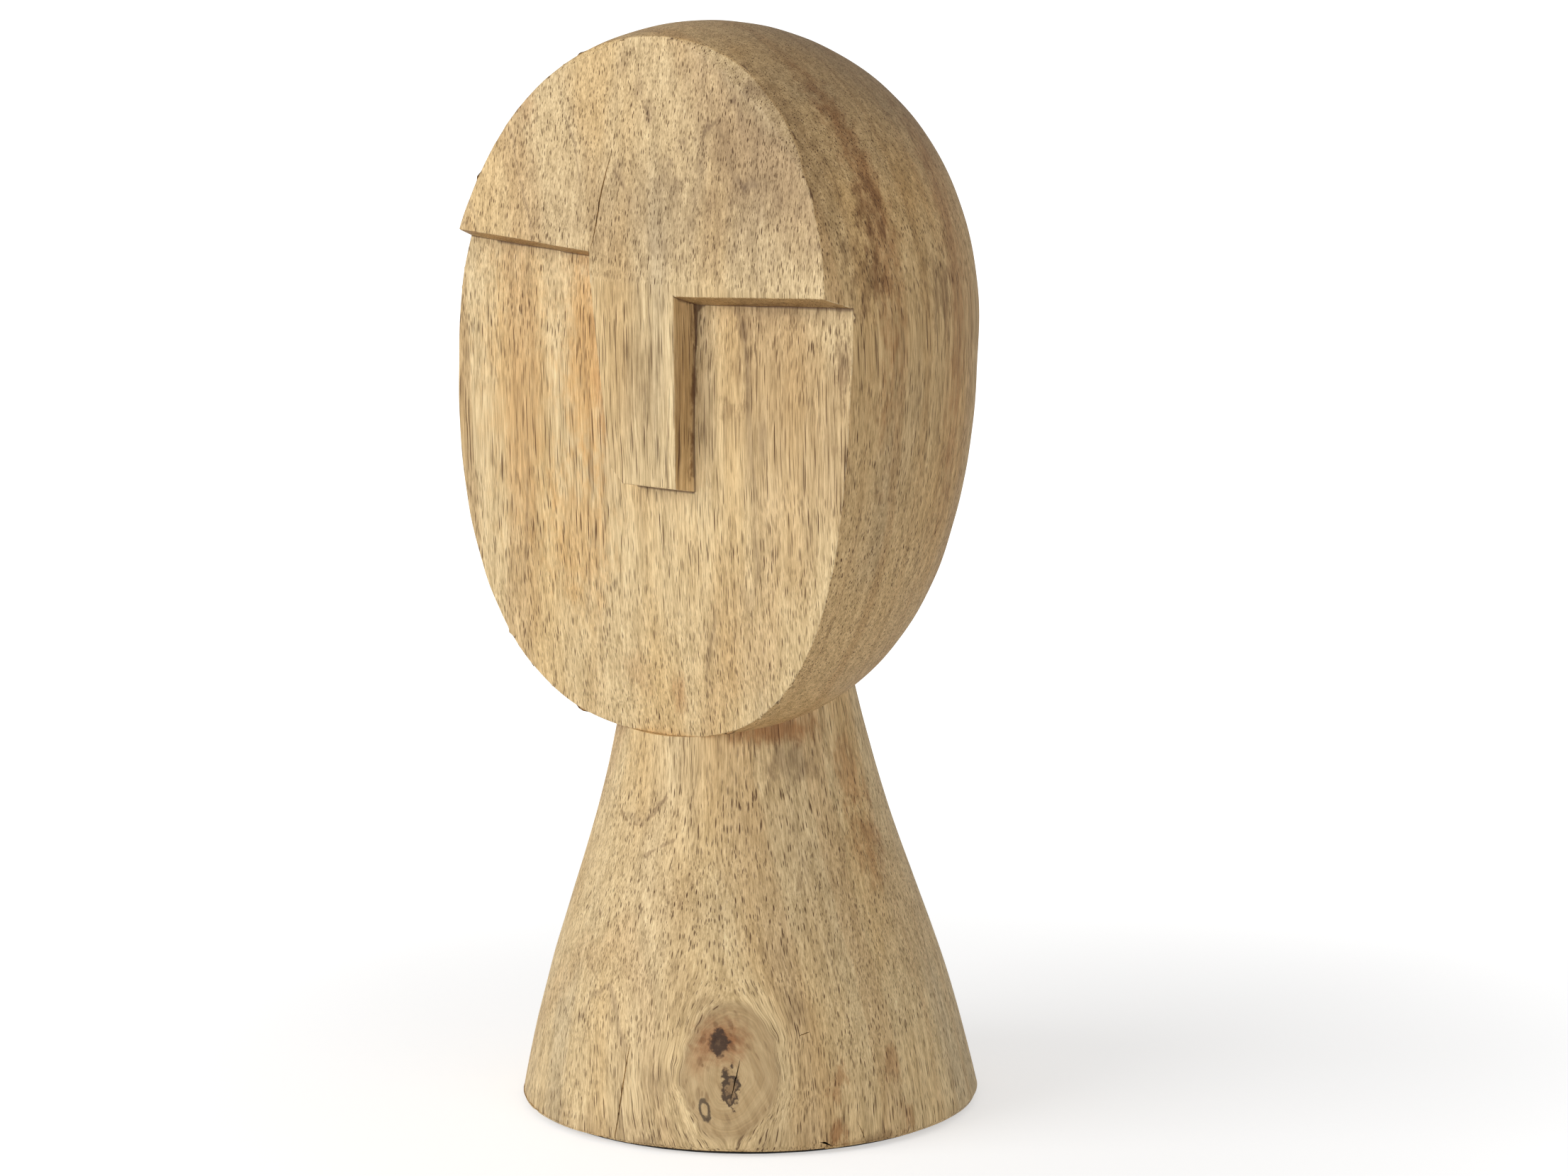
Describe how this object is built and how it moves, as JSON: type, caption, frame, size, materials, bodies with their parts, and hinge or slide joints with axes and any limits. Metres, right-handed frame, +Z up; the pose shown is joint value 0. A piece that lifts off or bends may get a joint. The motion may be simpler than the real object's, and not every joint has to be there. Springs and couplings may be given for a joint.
{
  "type": "carved wooden head on a base",
  "caption": "Abstract carved wooden head with a flat oval face, straight brows and a long flat nose in relief, doweled onto a flared turned neck and round base with a felt underside.",
  "frame": {"origin": "on the floor, at the middle of the felt disc's underside, under the base's centre", "axes": "+Z up from the base to the crown, +X to the right of a viewer who looks at the face, and the face looks towards -Y"},
  "size_m": [0.1456, 0.128, 0.3],
  "materials": {
    "head_wood": "satin",
    "base_wood": "satin",
    "dowel_wood": "matte",
    "felt": "matte"
  },
  "bodies": {
    "root": {"head": "head_wood", "neck_base": "base_wood", "neck_dowel": "dowel_wood", "felt_disc": "felt"}
  },
  "joints": []
}
